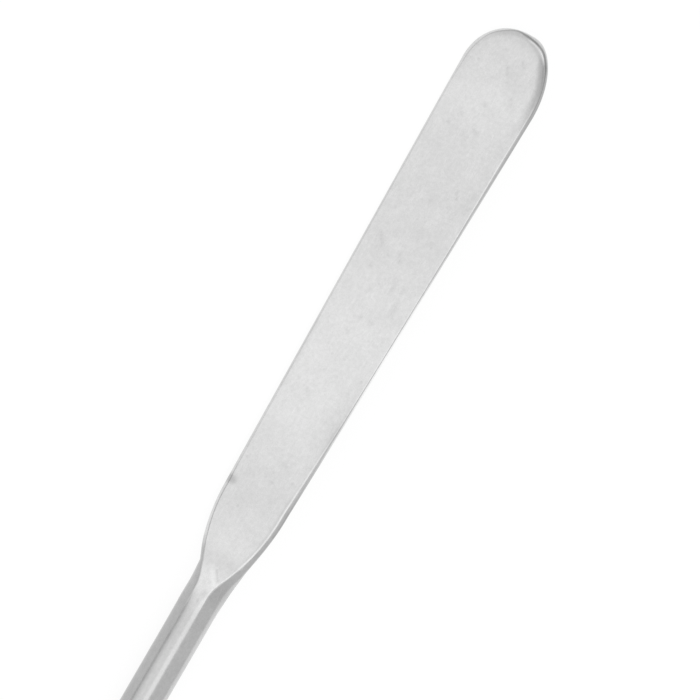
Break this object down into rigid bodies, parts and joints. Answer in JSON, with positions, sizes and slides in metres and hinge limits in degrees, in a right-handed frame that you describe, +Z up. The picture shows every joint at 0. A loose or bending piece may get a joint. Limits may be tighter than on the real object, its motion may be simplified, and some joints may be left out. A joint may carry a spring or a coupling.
{
  "type": "lab spatula",
  "caption": "Lab spatula: a round steel rod forged flat at one end into a thin, slightly tapering blade with a rounded tip.",
  "frame": {"origin": "centre of the bounding box, on the surface that the spatula lies on", "axes": "+X along the rod, from the blade's tip to the plain end; +Z up; the blade is rolled over on to its left edge, as it comes to rest, with its face turned towards -Y and up"},
  "size_m": [0.15, 0.0078, 0.0054],
  "materials": {
    "steel": "tumbled satin, fine cross scratches, soft edges"
  },
  "bodies": {
    "root": {"spatula": "steel"}
  },
  "joints": []
}
